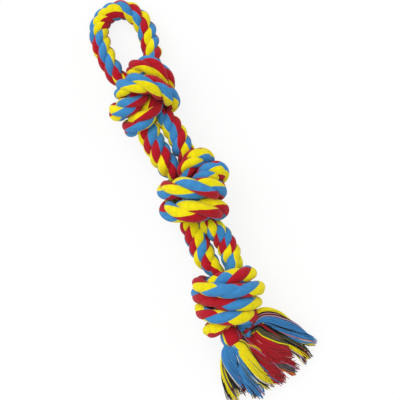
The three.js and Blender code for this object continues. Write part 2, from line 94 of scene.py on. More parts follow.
# Rows of the route: along, across, height and thickness, in rope diameters from the knot's centre.
knotRows = {
    "top_a": [
        [-1.2, -1.4, 1.45, 0.85], [-0.75, -1.1, 1.6, 0.7], [-0.3, -0.8, 1.85, 0.65],
        [0.25, -0.6, 2.3, 0.8], [0.5, -0.8, 2.6, 0.9], [0.5, -1.4, 2.6, 0.9], [0.45, -1.9, 2.2, 0.9],
        [0.4, -2, 1.55, 0.85], [0.5, -1.75, 0.9, 0.75], [0.5, -1.15, 0.35, 0.75],
        [0.45, -0.55, 0.25, 0.75], [0.45, 0.05, 0.45, 0.75], [0.3, 0.55, 1.1, 0.75],
        [0.15, 0.7, 1.75, 0.8], [-0.25, 0.65, 2.3, 0.85], [-0.75, 0.4, 2.6, 0.9], [-1.1, 0, 2.65, 0.9],
        [-1.15, -0.5, 2.45, 0.85], [-1.1, -0.85, 2, 0.75], [-0.95, -0.95, 1.4, 0.7],
        [-0.6, -0.8, 1, 0.65], [-0.05, -0.5, 0.95, 0.6], [0.45, -0.25, 1.1, 0.65], [1, -0.05, 1.4, 0.7],
        [1.6, 0.05, 1.6, 0.9],
    ],
    "top_b": [
        [-1.1, 0.35, 1.6, 0.8], [-0.65, 0.1, 1.85, 0.65], [-0.15, -0.05, 2, 0.65],
        [0.3, -0.05, 2.15, 0.7], [0.75, -0.35, 2.45, 0.85], [1.05, -0.95, 2.7, 0.9],
        [1.25, -1.45, 2.4, 0.9], [1.35, -1.7, 1.8, 0.85], [1.35, -1.4, 1.05, 0.75], [1.3, -0.9, 0.4, 0.7],
        [1.2, -0.3, 0.25, 0.7], [1.05, 0.1, 1.05, 0.75], [0.85, 0.25, 1.8, 0.8], [0.55, 0.25, 2.45, 0.85],
        [0.1, 0.05, 2.9, 0.9], [-0.3, -0.35, 3.05, 0.95], [-0.5, -0.75, 2.85, 0.9],
        [-0.5, -1.1, 2.3, 0.85], [-0.35, -1.25, 1.65, 0.75], [0, -1.2, 1.1, 0.65], [0.4, -1, 1, 0.6],
        [0.9, -0.95, 1.2, 0.7], [1.4, -0.95, 1.45, 0.8],
    ],
    "middle_a": [
        [-1.65, 0.3, 1.6, 0.95], [-1.15, 0.2, 1.4, 0.8], [-0.6, 0.15, 1.25, 0.65], [0, 0.05, 1.15, 0.65],
        [0.55, 0.05, 1.1, 0.65], [1, 0.2, 1.1, 0.75], [1.1, 0.55, 1.2, 0.8], [0.9, 0.85, 1.7, 0.9],
        [0.5, 0.95, 2.35, 0.9], [0.2, 0.75, 2.85, 0.95], [-0.05, 0.25, 3.05, 1], [-0.3, -0.3, 3, 1],
        [-0.45, -0.85, 2.6, 0.95], [-0.5, -1.2, 1.9, 0.9], [-0.5, -1.05, 1.15, 0.8],
        [-0.65, -0.45, 0.45, 0.75], [-0.8, 0.25, 0.25, 0.75], [-0.95, 0.8, 0.55, 0.8],
        [-1.05, 1.15, 1.35, 0.8], [-1.15, 1.1, 2, 0.9], [-1.25, 0.9, 2.45, 0.95], [-1.3, 0.5, 2.6, 0.9],
        [-1.15, 0.1, 2.45, 0.85], [-0.75, -0.15, 2.15, 0.7], [-0.3, -0.35, 2, 0.65], [0.2, -0.5, 2, 0.65],
        [0.8, -0.65, 2.05, 0.7], [1.35, -0.75, 1.95, 0.9],
    ],
    "middle_b": [
        [-1.15, -0.85, 1.45, 0.9], [-0.55, -0.75, 1.3, 0.7], [0.05, -0.7, 1.2, 0.65],
        [0.6, -0.6, 1.05, 0.7], [1.1, -0.45, 0.85, 0.8], [1.35, -0.1, 1.05, 0.85], [1.3, 0.25, 1.65, 0.9],
        [1.2, 0.35, 2.25, 0.95], [1.1, 0.15, 2.75, 1], [0.95, -0.3, 3, 1.05], [0.8, -0.8, 2.95, 1.05],
        [0.6, -1.3, 2.5, 1], [0.4, -1.6, 1.85, 0.9], [0.2, -1.35, 1.1, 0.8], [0.1, -0.75, 0.35, 0.75],
        [0, -0.05, 0.25, 0.75], [-0.1, 0.65, 0.4, 0.75], [-0.2, 1.15, 1.15, 0.8], [-0.3, 1.45, 1.8, 0.9],
        [-0.55, 1.35, 2.4, 0.95], [-0.7, 1, 2.75, 0.95], [-0.65, 0.55, 2.7, 0.9], [-0.35, 0.3, 2.4, 0.75],
        [0.15, 0.2, 2.05, 0.65], [0.7, 0.15, 2, 0.65], [1.25, 0.2, 2.05, 0.7], [1.8, 0.3, 1.95, 0.9],
    ],
    "bottom_a": [
        [-1.7, -0.75, 1.9, 0.8], [-1.05, -0.65, 1.95, 0.55], [-0.45, -0.85, 1.9, 0.6],
        [0.1, -1, 1.9, 0.6], [0.45, -1.25, 1.85, 0.6], [0.55, -1.65, 1.8, 0.65], [0.45, -1.85, 1.4, 0.65],
        [0.25, -1.6, 0.85, 0.65], [0.2, -1.05, 0.3, 0.65], [0.25, -0.4, 0.25, 0.65],
        [0.35, 0.15, 0.6, 0.65], [0.5, 0.55, 1.35, 0.65], [0.6, 0.7, 2.05, 0.65],
        [0.55, 0.45, 2.65, 0.65], [0.35, -0.1, 3, 0.65], [0.05, -0.7, 3.05, 0.65],
        [-0.35, -1.2, 2.8, 0.65], [-0.6, -1.55, 2.25, 0.65], [-0.75, -1.6, 1.55, 0.65],
        [-0.8, -1.35, 0.9, 0.65], [-0.8, -0.75, 0.3, 0.65], [-0.7, -0.1, 0.25, 0.65],
        [-0.65, 0.5, 0.65, 0.65], [-0.75, 0.8, 1.4, 0.7], [-0.9, 0.8, 2.05, 0.75],
        [-0.95, 0.5, 2.5, 0.75], [-1.05, 0, 2.7, 0.75], [-1.1, -0.5, 2.55, 0.75],
        [-1.15, -0.95, 2.15, 0.65], [-1.1, -1.1, 1.6, 0.55], [-1.15, -0.9, 1.1, 0.55],
        [-1.1, -0.35, 0.9, 0.6], [-0.75, 0.05, 1, 0.6], [-0.25, 0.1, 1.2, 0.6], [0.3, -0.1, 1.35, 0.6],
        [0.8, -0.25, 1.45, 0.6],
    ],
    "bottom_b": [
        [-1.5, 0.45, 1.9, 0.9], [-1, 0.2, 1.9, 0.65], [-0.45, -0.05, 1.85, 0.6], [0.15, -0.25, 1.85, 0.6],
        [0.6, -0.5, 1.85, 0.6], [0.95, -0.9, 1.9, 0.65], [1.1, -1.35, 1.85, 0.7], [1, -1.8, 1.55, 0.7],
        [0.8, -1.85, 1, 0.65], [0.7, -1.4, 0.4, 0.65], [0.7, -0.85, 0.25, 0.65], [0.85, -0.35, 0.6, 0.65],
        [0.95, -0.05, 1.3, 0.65], [1, 0, 2, 0.65], [0.95, -0.2, 2.55, 0.7], [0.8, -0.65, 2.85, 0.7],
        [0.6, -1.15, 2.9, 0.7], [0.35, -1.6, 2.65, 0.65], [0.15, -1.85, 2.1, 0.65],
        [-0.05, -1.85, 1.5, 0.65], [-0.2, -1.6, 0.9, 0.65], [-0.2, -1, 0.3, 0.65],
        [-0.15, -0.3, 0.25, 0.65], [-0.05, 0.35, 0.6, 0.65], [0.05, 0.9, 1.4, 0.65],
        [0.1, 1.15, 2.1, 0.65], [-0.05, 0.8, 2.7, 0.7], [-0.25, 0.15, 3, 0.7], [-0.55, -0.55, 3.05, 0.7],
        [-0.8, -1.1, 2.75, 0.65], [-1, -1.35, 2.2, 0.65], [-1.05, -1.4, 1.6, 0.65],
        [-1.05, -1.2, 1.05, 0.6], [-0.9, -0.9, 0.75, 0.6], [-0.6, -0.7, 0.95, 0.6],
        [-0.15, -0.7, 1.2, 0.6], [0.3, -0.75, 1.3, 0.6], [0.8, -0.85, 1.5, 0.7],
    ],
}

# Legs between two knots: along in shares of the span, the rest in rope diameters.
upperLegRows = {
    "a": [[0.39, 0.15, 1.75, 1], [0.5, 0.25, 1.8, 1], [0.6, 0.25, 1.8, 1]],
    "b": [[0.35, -1, 1.65, 1], [0.45, -1, 1.75, 1], [0.55, -0.95, 1.8, 1], [0.68, -0.9, 1.7, 1]],
}
lowerLegRows = {
    "a": [[0.33, -0.8, 1.85, 1], [0.46, -0.8, 1.8, 1], [0.58, -0.8, 1.8, 1]],
    "b": [[0.42, 0.35, 1.85, 1], [0.54, 0.45, 1.8, 1], [0.65, 0.5, 1.8, 1]],
}
ropeEndRows = {
    "a": [[1.25, -0.2, 1.5, 0.7], [1.6, 0, 1.45, 0.85]],
    "b": [[1.25, -0.95, 1.7, 0.8], [1.7, -1.05, 1.75, 0.9]],
}

# The handle, from its far end to the top knot: along in shares of its reach, across of its width.
loopRows = {
    "a": [
        [0.98, 0.03, 0.4, 1], [1, -0.3, 0.4, 1], [0.94, -0.53, 0.45, 1], [0.84, -0.66, 0.65, 1],
        [0.71, -0.7, 0.85, 1],
    ],
    "b": [[0.86, 0.25, 0.5, 1], [0.68, 0.34, 0.65, 1]],
}
neckRows = {
    "a": [[0.56, -0.7, 1.1, 1], [0.41, -0.66, 1.3, 0.95]],
    "b": [[0.51, 0.3, 0.9, 1], [0.37, 0.26, 1.25, 0.95]],
}


def ropePoints(rows, startX, alongUnit, acrossUnit=ropeDiameter):
    # rows of shares turned into x, y, z and half thickness in millimetres, each share times its unit
    rows = np.array(rows, float)
    return np.stack([startX + rows[:, 0] * alongUnit, rows[:, 1] * acrossUnit,
                     rows[:, 2] * ropeDiameter, rows[:, 3] * ropeRadius], 1)


def legPieces(leg):
    # one leg, from the loop's far end to the rope's end: each piece's name and points
    top, middle, bottom = (knotCentres[k] for k in ("top", "middle", "bottom"))
    reach, width = -rope["handleReach"], rope["handleWidth"]
    return [
        ["handle_loop", ropePoints(loopRows[leg], top, reach, width)],
        ["handle_neck_" + leg, ropePoints(neckRows[leg], top, reach, width)],
        ["top_knot_rope_" + leg, ropePoints(knotRows["top_" + leg], top, ropeDiameter)],
        ["upper_leg_" + leg, ropePoints(upperLegRows[leg], top, rope["upperSpan"])],
        ["middle_knot_rope_" + leg, ropePoints(knotRows["middle_" + leg], middle, ropeDiameter)],
        ["lower_leg_" + leg, ropePoints(lowerLegRows[leg], middle, rope["lowerSpan"])],
        ["bottom_knot_rope_" + leg, ropePoints(knotRows["bottom_" + leg], bottom, ropeDiameter)],
        ["rope_end_" + leg, ropePoints(ropeEndRows[leg], bottom, ropeDiameter)],
    ]


def wholeRoute():
    # leg a's pieces backwards and then leg b's, with the two halves of the loop as one piece
    legA = [[name, points[::-1]] for name, points in legPieces("a")[::-1]]
    loopB, *restB = legPieces("b")
    legA[-1][1] = np.vstack([legA[-1][1], loopB[1]])
    return legA + restB


def throughPoints(points, steps):
    # Catmull-Rom curve: each stretch is a cubic that leaves its points along their neighbours' chord
    held = np.vstack([2 * points[0] - points[1], points, 2 * points[-1] - points[-2]])
    t = (np.arange(steps) / steps)[None, :, None]
    a, b, c, d = (held[k:len(held) - 3 + k, None, :] for k in range(4))
    curve = 0.5 * (2 * b + (c - a) * t + (2 * a - 5 * b + 4 * c - d) * t ** 2
                   + (3 * b - a - 3 * c + d) * t ** 3)
    return np.vstack([curve.reshape(-1, points.shape[1]), points[-1:]])


def reachedLengths(points):
    # the length of the line up to each point: the sum of the straight steps before it
    steps = np.linalg.norm(np.diff(points[:, :3], axis=0), axis=1)
    return np.concatenate([[0], np.cumsum(steps)])


def evenlySpaced(samples, step):
    # the same curve in equal steps: each column read off at evenly spaced lengths along it
    reached = reachedLengths(samples)
    count = round(reached[-1] / step)
    places = np.linspace(0, reached[-1], count + 1)
    points = np.stack([np.interp(places, reached, column) for column in samples.T], 1)
    return points, reached, count / reached[-1]


def settledRoute(start):
    # in each round a point's move is partly taken back and evened out with its neighbours', a bend is
    # eased towards the middle of its neighbours, passes that cross are pushed apart by half of what
    # they lack each, and no point sinks into the table
    s = settling
    radius = start[:, 3]
    count = len(start)
    skip = math.ceil(s["skipShare"] / rope["stepShare"])
    sink = s["sinkShare"] * ropeDiameter
    begun = start[:, :3]
    points = begun.copy()
    over = (begun[:, 2] / ropeDiameter - s["frontShare"]) / s["blendShare"] + 0.5
    seen = s["holdShare"] + s["seenHoldShare"] * np.clip(over, 0, 1)
    hold = np.stack([seen, seen, np.full(count, s["holdShare"])], 1)
    places = np.arange(count)
    apartEnough = np.abs(places[:, None] - places[None, :]) > skip
    need = radius[:, None] + radius[None, :] + rope["layGap"]
    for k in range(s["rounds"]):
        ease = max(0.0, 1 - k / (s["rounds"] * s["releaseShare"]))
        move = (points - begun) * (1 - hold * ease)
        beside = move.copy()
        beside[1:-1] = (move[:-2] + move[2:]) / 2
        points = begun + move + s["evenShare"] * (beside - move)
        ab, ac = points[1:-1] - points[:-2], points[2:] - points[:-2]
        bc = np.linalg.norm(points[2:] - points[1:-1], axis=1)
        twiceArea = np.maximum(np.linalg.norm(np.cross(ab, ac), axis=1), tiny)
        bend = np.linalg.norm(ab, axis=1) * bc * np.linalg.norm(ac, axis=1) / (2 * twiceArea)
        tight = np.clip((s["bendShare"] - bend / radius[1:-1]) / (s["bendShare"] - 1), 0, 1)
        share = (s["slackShare"] + s["stiffShare"] * tight)[:, None]
        eased = points.copy()
        eased[1:-1] += share * ((points[:-2] + points[2:]) / 2 - points[1:-1])
        across = eased[:, None, :] - eased[None, :, :]
        apart = np.sqrt((across ** 2).sum(-1))
        lack = np.where(apartEnough & (apart < need), need - apart, 0)
        push = (across * (lack / np.maximum(apart, tiny))[..., None]).sum(1) / 2
        crowd = np.clip((lack > 0).sum(1), 1, s["crowdShare"])
        points = eased + push / crowd[:, None]
        points[:, 2] = np.maximum(points[:, 2], radius - sink)
    return np.column_stack([points, radius])


def unit(vectors):
    # each vector divided by its own length
    return vectors / np.maximum(np.linalg.norm(vectors, axis=-1, keepdims=True), tiny)


def alongDirections(points):
    # chord from the point before to the point after
    p = points[:, :3]
    return unit(np.vstack([p[1:2] - p[:1], p[2:] - p[:-2], p[-1:] - p[-2:-1]]))


def sideDirections(along):
    # square to the rope, starting upwards: each is the one before it less its part along the rope
    side = np.array([0.0, 0.0, 1.0])
    sides = []
    for direction in along:
        side = side - direction * (side @ direction)
        side = side / np.linalg.norm(side)
        sides.append(side)
    return np.array(sides)


def turnedBy(angle, sides, ups):
    # directions round the rope: the angle's cosine times the side plus its sine times the upward one
    return np.cos(angle) * sides + np.sin(angle) * ups


route = wholeRoute()
evenPoints, reached, perStep = evenlySpaced(
    throughPoints(np.vstack([points for _, points in route]), rope["splineSteps"]), ropeStep)
settled = settledRoute(evenPoints)

# Where each piece of rope starts and ends, counted in settled points.
pieceSpans = {}
passed, begin = 0, 0.0
for number, (name, points) in enumerate(route):
    passed += len(points)
    finish = float(len(settled) - 1)
    if number < len(route) - 1:
        between = reached[np.array([passed - 1, passed]) * rope["splineSteps"]].mean()
        finish = math.floor(between * perStep) + 0.5
    pieceSpans[name] = (begin, finish)
    begin = finish

# The frame's box of the faceted loop shows how far the CAD part moved the route to lie about the origin.
along = alongDirections(settled)
sides = sideDirections(along)
loopFrom, loopTo = (round(p) for p in pieceSpans["handle_loop"])
loopSpan = slice(loopFrom, loopTo + 1)
facetAngles = tau * np.arange(rope["facets"])[:, None] / rope["facets"]
loopRound = turnedBy(facetAngles, sides[loopSpan, None], np.cross(along, sides)[loopSpan, None])
loopSkin = settled[loopSpan, None, :3] + settled[loopSpan, None, 3:] * loopRound
loopLow = np.array(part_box("handle_loop")[0]) / mm
shift = np.array([*(loopLow[:2] - loopSkin.min((0, 1))[:2]), 0.0])
settled[:, :3] += shift
print("route:", len(settled), "points,", round(reachedLengths(settled)[-1]), "mm of rope")


def linear(hexColour):
    # sRGB hex to linear red, green and blue: a straight line near black, else a power of 2.4
    parts = [int(hexColour[k:k + 2], 16) / 255 for k in (1, 3, 5)]
    return [p / 12.92 if p <= 0.04045 else ((p + 0.055) / 1.055) ** 2.4 for p in parts]


def addNode(tree, kind, settings=None, links=None):
    # one node with its settings; a link goes from a socket, or from a node's first one, to the named
    # or numbered input
    node = tree.nodes.new(kind)
    for key, value in (settings or {}).items():
        if isinstance(key, str) and hasattr(node, key):
            setattr(node, key, value)
        else:
            node.inputs[key].default_value = value
    for key, source in (links or {}).items():
        tree.links.new(getattr(source, "outputs", [source])[0], node.inputs[key])
    return node


def newMaterial(name):
    # a node material with nothing in it but its output
    material = bpy.data.materials.new(name)
    material.use_nodes = True
    tree = material.node_tree
    tree.nodes.clear()
    output = tree.nodes.new("ShaderNodeOutputMaterial")
    return material, tree, output


def newObject(name, data):
    # an object of the data, linked into the scene
    made = bpy.data.objects.new(name, data)
    bpy.context.scene.collection.objects.link(made)
    return made


# The camera looks straight down with a long lens, turned so that the toy lies as photographed.
view = {
    "millimetresPerPixel": 1.2,
    "pictureSize": 400,
    "pictureCentre": (200.0, 200.0),
    "originPixel": (195.0, 190.0),  # the middle knot's centre in the picture
    "turn": math.radians(22),  # the toy's axis from straight down in the picture
    "focusHeight": 45.0,  # millimetres over the table, where the scale is as given
    "lens": 200.0,
    "sensor": 36.0,
    "clip": (0.1, 10.0),  # metres
}
right = np.array([math.sin(view["turn"]), math.cos(view["turn"]), 0])
down = np.array([math.cos(view["turn"]), -math.sin(view["turn"]), 0])


def fromPicture(px, py):
    # a pixel's place on the table in millimetres: its way right and down from the origin's pixel
    step = view["millimetresPerPixel"]
    return (step * ((px - view["originPixel"][0]) * right + (py - view["originPixel"][1]) * down)
            + np.array([shift[0], shift[1], 0]))


camera = newObject("camera", bpy.data.cameras.new("camera"))
bpy.context.scene.camera = camera
camera.data.lens = view["lens"]
camera.data.sensor_width = view["sensor"]
seenWidth = view["millimetresPerPixel"] * view["pictureSize"]
cameraHeight = view["focusHeight"] + seenWidth * view["lens"] / view["sensor"]
cameraPlace = fromPicture(*view["pictureCentre"]) + np.array([0, 0, cameraHeight])
camera.matrix_world = Matrix([
    [right[0], -down[0], 0, cameraPlace[0] * mm],
    [right[1], -down[1], 0, cameraPlace[1] * mm],
    [0, 0, 1, cameraPlace[2] * mm],
    [0, 0, 0, 1]])
camera.data.clip_start, camera.data.clip_end = view["clip"]
print("camera: height", round(cameraHeight), "mm")

# The laid strands: three round strands wound about the rope's line, each with its outer yarns in
# three colours. A turn is one lay of the strands; a colour turn is once round a strand's colours.
laid = {
    "strands": 3,
    "substeps": 4,  # rings between two settled points
    "sidesRound": 44,  # of one strand
    "fullness": 1.1,  # the soft rope fills its knots: wider than the settled route
    "openLay": 42.0,  # millimetres for one turn where no crowns are given
    "knotLay": 62.0,  # the same inside a knot
    "ease": 12.0,  # millimetres over which the rope changes from one state to the next
    "yarnTurns": 2,  # back in their strand for each turn of the strands, so yarns lie along the rope
    "tuck": 0.97,  # of the radius, where a piece's end is hidden in the next one's
    "tail": 12.0,  # millimetres by which the second end hangs out further
    "tailSteps": 2,
    "tailRound": 10.0,  # millimetres over which it is rounded off
    "tailTip": 0.03,  # the square of the share of its thickness that is left at the tip
    "tailFullness": 1.18,  # of both ends
    "bendReach": 1.5,  # settled points at a pass's ends, where it bends away and up turns quickly
    "bendInset": 0.35,  # of a bending piece's length, at most of the rope's diameter
}
# Strand's centre from the rope's line and its half thickness, in rope radii. The bottom knot's are
# pressed together until their grooves are faint.
strandShapes = {"open": (0.53, 0.49), "knot": (0.49, 0.54), "bottom_knot": (0.27, 0.73)}

# The crowns one sees: the first and last of a pass of the rope, counted in settled points, which way
# the strands wind, which way and how far the dyes go round them, and the dye that faces up on each
# crown, in twelfths: blue is 2, yellow 6 and red 10, and 0, 4 and 8 lie where two of them meet.
crownRows = [
    [0, 2, -1, -0.4, (2, 2)],
    [19, 31, -1, -0.4, (6, 2, 10, 6, 2)],
    [46, 61, -1, -0.4, (2, 10, 10, 2, 6)],
    [92.5, 104.75, 1, -1, (8, 9, 2, 7, 7, 6)],
    [113.25, 123, 1, -1, (1, 6, 2, 2)],
    [138.25, 153, 1, -1, (4, 6, 1, 2)],
    [172.5, 181.75, 1, -1, (6, 11, 1, 1, 1)],
    [194.5, 208, 1, -1, (8, 8, 8, 5)],
    [228, 235, 1, -1, (4, 0, 8)],
    [241.75, 251, 1, 1, (10, 2, 2, 2)],
    [253.5, 259.5, 1, 1, (7, 8, 8, 7)],
    [261.5, 275, 1, 1, (2, 1, 10, 6, 6, 1)],
    [283, 291, 1, -1, (10, 9, 0)],
    [309, 320.25, 1, -1, (6, 3, 5, 3)],
    [334.25, 345, 1, -1, (0, 1, 11, 8, 10)],
    [361.25, 376, 1, -1, (10, 8, 6, 10)],
    [388.75, 400.5, 1, -1, (6, 2, 10, 7, 3)],
    [410.5, 421, 1, -1, (8, 6, 1, 0, 7, 4)],
    [433.5, 438.5, -1, -0.4, (7, 7)],
    [454, 468, -1, -0.4, (10, 6, 2, 10, 6)],
    [488.5, 504, -1, -0.4, (6, 2, 2, 6, 10)],
    [519, 519, -1, -1, (9,)],
]
twelfths = 12

# The rope's second end hangs out of its knot a little further than in the CAD part.
tailStep = laid["tail"] / laid["tailSteps"] * unit((settled[-1, :3] - settled[-2, :3]) * [1, 1, 0])
tailPoints = np.repeat(settled[-1:], laid["tailSteps"], 0)
tailPoints[:, :3] += np.arange(1, laid["tailSteps"] + 1)[:, None] * tailStep
settled = np.vstack([settled, tailPoints])
pieceSpans["rope_end_b"] = (pieceSpans["rope_end_b"][0], float(len(settled) - 1))

dense = throughPoints(settled, laid["substeps"])
denseAlong = alongDirections(dense)
denseSides = sideDirections(denseAlong)
denseUps = np.cross(denseAlong, denseSides)
denseReached = reachedLengths(dense)
places = np.arange(len(dense)) / laid["substeps"]  # in settled points


def smoothed(values, width):
    # running mean over a width in millimetres to either side
    reach = max(1, int(width / (ropeStep / laid["substeps"])))
    padded = np.concatenate([np.full(reach, values[0]), values, np.full(reach, values[-1])])
    return np.convolve(padded, np.ones(2 * reach + 1) / (2 * reach + 1), "valid")


def shareIn(word):
    # 1 where the rope's piece has the word in its name, eased into 0 elsewhere
    share = np.zeros(len(dense))
    for name, (begin, finish) in pieceSpans.items():
        if word in name:
            share[(places >= begin) & (places <= finish)] = 1
    return smoothed(share, laid["ease"])


# Between the knots the legs are fuller than the route, and lie a little aside of it: each leg's
# fullness, and its way to the picture's right at its two ends in millimetres, first the middle knot's.
legs = {
    "upper_leg_a": (1.08, 0.0, 0.5),
    "upper_leg_b": (1.2, -2.5, -2.5),
    "lower_leg_a": (1.2, 4.5, -2.0),
    "lower_leg_b": (1.08, 6.0, 1.0),
}
legShares = {name: shareIn(name) for name in legs}
legFullness = np.ones(len(dense))
for name, (full, nearMiddle, far) in legs.items():
    ends = [abs(dense[round(p * laid["substeps"]), 0]) for p in pieceSpans[name]]
    away = np.clip((abs(dense[:, 0]) - min(ends)) / (max(ends) - min(ends)), 0, 1)
    dense[:, 1] += legShares[name] * (nearMiddle + (far - nearMiddle) * away)
    legFullness += (full - 1) * legShares[name]

inTail = shareIn("rope_end_b")
inKnot, inBottomKnot = shareIn("knot") + inTail, shareIn("bottom_knot") + inTail
openShape, knotShape, bottomShape = (np.array(shape)[:, None] for shape in strandShapes.values())
offsets, thickness = (openShape + (knotShape - openShape) * (inKnot - inBottomKnot)
                      + (bottomShape - openShape) * inBottomKnot)
toEnd = np.clip((denseReached[-1] - denseReached) / laid["tailRound"], 0, 1)
rounding = np.sqrt(np.maximum(1 - (1 - toEnd) ** 2, laid["tailTip"]))
fullness = rounding * (legFullness + (laid["fullness"] - 1) * inKnot
                       + (laid["tailFullness"] - 1) * shareIn("rope_end"))
defaultRate = (1 - inKnot) / laid["openLay"] + inKnot / laid["knotLay"]

# Which way is up round the rope, in turns; a strand is on a crown where its own angle is the same.
upTurns = np.unwrap(np.arctan2(denseUps[:, 2], denseSides[:, 2])) / tau


def crownAnchors():
    # each crown's ring, its thirds of a turn past up, its turns, its dye and the dyes' way round: one
    # third more from crown to crown of a pass, and between passes the third nearest to the usual lay
    rings, thirds, ups, dyes, ways = [], [], [], [], []
    defaultTurns = np.cumsum(defaultRate * np.diff(denseReached, prepend=0))
    lastWay = crownRows[0][2]
    for first, last, layWay, dyeWay, facing in crownRows:
        for number, place in enumerate(np.linspace(first, last, len(facing))):
            ring = round(place * laid["substeps"])
            inner = min(max(place, first + laid["bendReach"]), last - laid["bendReach"])
            up = upTurns[round((inner if len(facing) > 2 else place) * laid["substeps"])]
            if not rings:
                third = 0
            elif number:
                third = thirds[-1] + layWay
            else:
                usual = defaultTurns[ring] - defaultTurns[rings[-1]]
                expected = (layWay + lastWay) / 2 * usual
                third = thirds[-1] + round(laid["strands"] * (expected - up + ups[-1]))
            rings.append(ring)
            thirds.append(third)
            ups.append(up)
            ways.append(dyeWay)
        dyes += facing
        lastWay = layWay
    thirds = np.array(thirds)
    turns = thirds / laid["strands"] + np.array(ups)
    return np.array(rings), thirds, turns, np.array(dyes) / twelfths, np.array(ways)


crownRings, crownThirds, crownTurns, crownDyes, crownWays = crownAnchors()
ringNumbers = np.arange(len(dense))
ropeTurns = smoothed(np.interp(ringNumbers, crownRings, crownTurns), ropeStep)
dyeWay = smoothed(np.interp(ringNumbers, crownRings, crownWays), ropeStep)
turnSteps = np.diff(ropeTurns, prepend=ropeTurns[0])
yarnDrift = np.cumsum(laid["yarnTurns"] * turnSteps)
dyeDrift = np.cumsum(laid["yarnTurns"] * dyeWay * turnSteps)


def dyeTurns(strand):
    # the dye on the strand's outer side: the drift, plus what its own crowns show beyond it, on
    # straight lines from one crown to the next
    own = (-crownThirds) % laid["strands"] == strand
    rings = crownRings[own]
    shown = np.unwrap(crownDyes[own] - dyeDrift[rings], period=1)
    return dyeDrift + np.interp(ringNumbers, rings, shown)


def gridFaces(rings, around, firstVertex):
    # quads of a tube: vertex and next vertex of a ring, joined to the same two of the ring after
    ring, side = np.meshgrid(np.arange(rings - 1), np.arange(around), indexing="ij")
    a = ring * around + side
    b = ring * around + (side + 1) % around
    return firstVertex + np.stack([a, b, b + around, a + around], -1).reshape(-1, 4)


def meshPiece(name, vertices, quads, triangles, material, uv=None, colours=None):
    # arrays straight into a mesh: vertices in millimetres, and uv pairs for the corners of the quads
    # and then of the triangles
    mesh = bpy.data.meshes.new(name)
    corners = np.concatenate([quads.ravel(), triangles.ravel()]).astype(np.int32)
    sizes = np.concatenate([np.full(len(quads), 4), np.full(len(triangles), 3)])
    mesh.vertices.add(len(vertices))
    mesh.vertices.foreach_set("co", (vertices * mm).astype(np.float32).ravel())
    mesh.loops.add(len(corners))
    mesh.loops.foreach_set("vertex_index", corners)
    mesh.polygons.add(len(sizes))
    mesh.polygons.foreach_set("loop_start", np.concatenate([[0], np.cumsum(sizes)[:-1]]).astype(np.int32))
    mesh.polygons.foreach_set("use_smooth", sizes == 4)  # the end fans stay flat
    mesh.update(calc_edges=True)
    if uv is not None:
        layer = mesh.uv_layers.new(name="yarn")
        layer.data.foreach_set("uv", uv.astype(np.float32).ravel())
    if colours is not None:
        attribute = mesh.color_attributes.new("yarnColour", "FLOAT_COLOR", "POINT")
        attribute.data.foreach_set("color", colours.astype(np.float32).ravel())
    mesh.validate()
    mesh.materials.append(material)
    return newObject(name, mesh)


def strandRings(first, last, strand):
    # a strand is a round tube about a helix: its centre is the rope's line plus its offset times the
    # cosine sideways and the sine upwards, and its skin is the same about that centre
    span = slice(first, last + 1)
    radius = (dense[span, 3] * fullness[span])[:, None]
    radius[[0, -1]] *= laid["tuck"]
    angle = tau * (ropeTurns[span] + strand / laid["strands"])[:, None]
    outward = turnedBy(angle, denseSides[span], denseUps[span])
    centres = dense[span, :3] + offsets[span, None] * radius * outward
    ahead = unit(np.gradient(centres, axis=0))
    out = unit(outward - ahead * (outward * ahead).sum(1, keepdims=True))
    across = np.cross(ahead, out)
    turn = tau * (np.arange(laid["sidesRound"])[:, None] / laid["sidesRound"] - 0.5)
    around = turnedBy(turn, out[:, None], across[:, None])
    skin = centres[:, None] + (thickness[span, None] * radius)[..., None] * around
    skin[..., 2] = np.maximum(skin[..., 2], 0)  # it rests on the table
    return skin, centres


def strandColours(first, last, strand):
    # dye turn and yarn turn at each ring and side: what faces out there plus the share of the way
    # round from the strand's outer side, given to the corners of the quads
    n = laid["sidesRound"]
    side = np.arange(n + 1)[None, :] / n - 0.5
    span = slice(first, last + 1)
    u = dyeTurns(strand)[span, None] + dyeWay[span, None] * side
    v = yarnDrift[span, None] + side
    grid = np.stack([u, v], -1)
    return np.stack([grid[:-1, :-1], grid[:-1, 1:], grid[1:, 1:], grid[1:, :-1]], 2).reshape(-1, 2)


def laidPiece(name, material):
    # the three strands between the piece's two ends and one ring further, into its neighbours, each
    # closed by a fan about its centre
    begin, finish = pieceSpans[name]
    first = max(round(begin * laid["substeps"]) - 1, 0)
    last = min(round(finish * laid["substeps"]) + 1, len(dense) - 1)
    n = laid["sidesRound"]
    k = np.arange(n)
    vertices, quads, triangles, uv, fanUv = [], [], [], [], []
    count = 0
    for strand in range(laid["strands"]):
        skin, centres = strandRings(first, last, strand)
        rings = len(skin)
        vertices += [skin.reshape(-1, 3), centres[[0, -1]]]
        quads.append(gridFaces(rings, n, count))
        startCentre, endCentre = count + rings * n, count + rings * n + 1
        lastRing = count + (rings - 1) * n
        triangles.append(np.stack([np.full(n, startCentre), count + (k + 1) % n, count + k], 1))
        triangles.append(np.stack([np.full(n, endCentre), lastRing + k, lastRing + (k + 1) % n], 1))
        uv.append(strandColours(first, last, strand))
        fanUv.append(np.zeros((2 * n * 3, 2)))  # two fans of n triangles, inside the neighbours
        count += rings * n + 2
    return meshPiece(name + "_laid", np.vstack(vertices), np.vstack(quads), np.vstack(triangles),
                     material, np.vstack(uv + fanUv))


# Cotton in both its forms: soft and matt with a faint sheen, and no gloss.
softCotton = {"Roughness": 0.95, "IOR": 1.5, "Specular IOR Level": 0.15, "Sheen Weight": 0.12,
              "Sheen Roughness": 0.5}
noiseRange = {"From Min": 0.3, "From Max": 0.7}  # where nearly all of a noise's values lie

